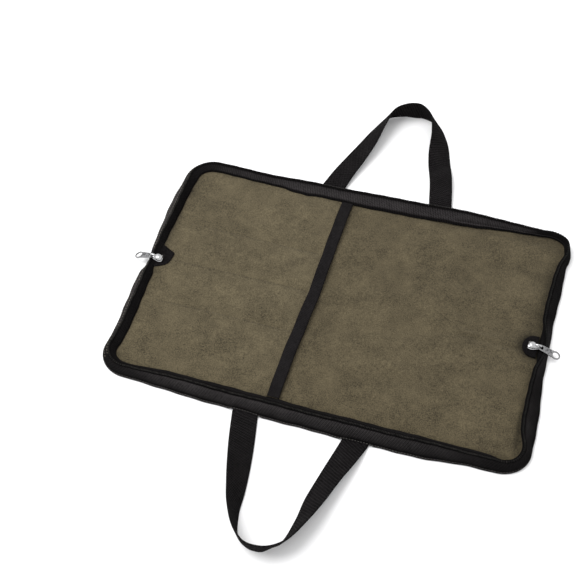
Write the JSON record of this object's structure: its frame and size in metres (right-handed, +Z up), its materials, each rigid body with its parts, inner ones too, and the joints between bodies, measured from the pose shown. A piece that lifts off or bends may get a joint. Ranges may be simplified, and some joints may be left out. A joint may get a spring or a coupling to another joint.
{
  "type": "zipped knife roll",
  "caption": "Flat zipped knife case of olive suede with black cloth walls, lying open and empty, with blade slots on one side, metal zip pulls and webbing handles.",
  "frame": {"origin": "centre of the case's underside, on the ground it lies on, halfway along its fold line", "axes": "+X along the fold line towards the open end of the knife slots, +Y away from the half nearer the viewer, +Z up out of the open case"},
  "size_m": [0.4502, 0.5939, 0.0254],
  "materials": {
    "suede": "napped matte suede",
    "black_cloth": "woven matte cloth",
    "webbing": "ribbed woven strap",
    "zip_nylon": "satin coil",
    "plated_metal": "bright plated"
  },
  "bodies": {
    "case": {"outer_cover": "suede", "padded_lining": "suede", "knife_pocket": "suede", "pocket_binding": "black_cloth", "wall_far": "black_cloth", "wall_near": "black_cloth", "zip_coil_far": "zip_nylon", "zip_coil_near": "zip_nylon", "zip_tab_left": "black_cloth", "zip_tab_right": "black_cloth", "slider_left": "plated_metal", "slider_right": "plated_metal", "handle_far": "webbing", "handle_near": "webbing"},
    "pull_left_body": {"pull_left": "plated_metal"},
    "pull_right_body": {"pull_right": "plated_metal"}
  },
  "joints": [
    {"name": "pull_left_hinge", "type": "hinge", "parent": "case", "child": "pull_left_body", "pos_m": [-0.20785, -0.004, 0.0127], "axis": [0.1564, 0.9877, 0], "range_deg": [0, 110]},
    {"name": "pull_right_hinge", "type": "hinge", "parent": "case", "child": "pull_right_body", "pos_m": [0.20084, -0.00444, 0.0127], "axis": [-0.1219, -0.9925, 0], "range_deg": [0, 110]}
  ]
}
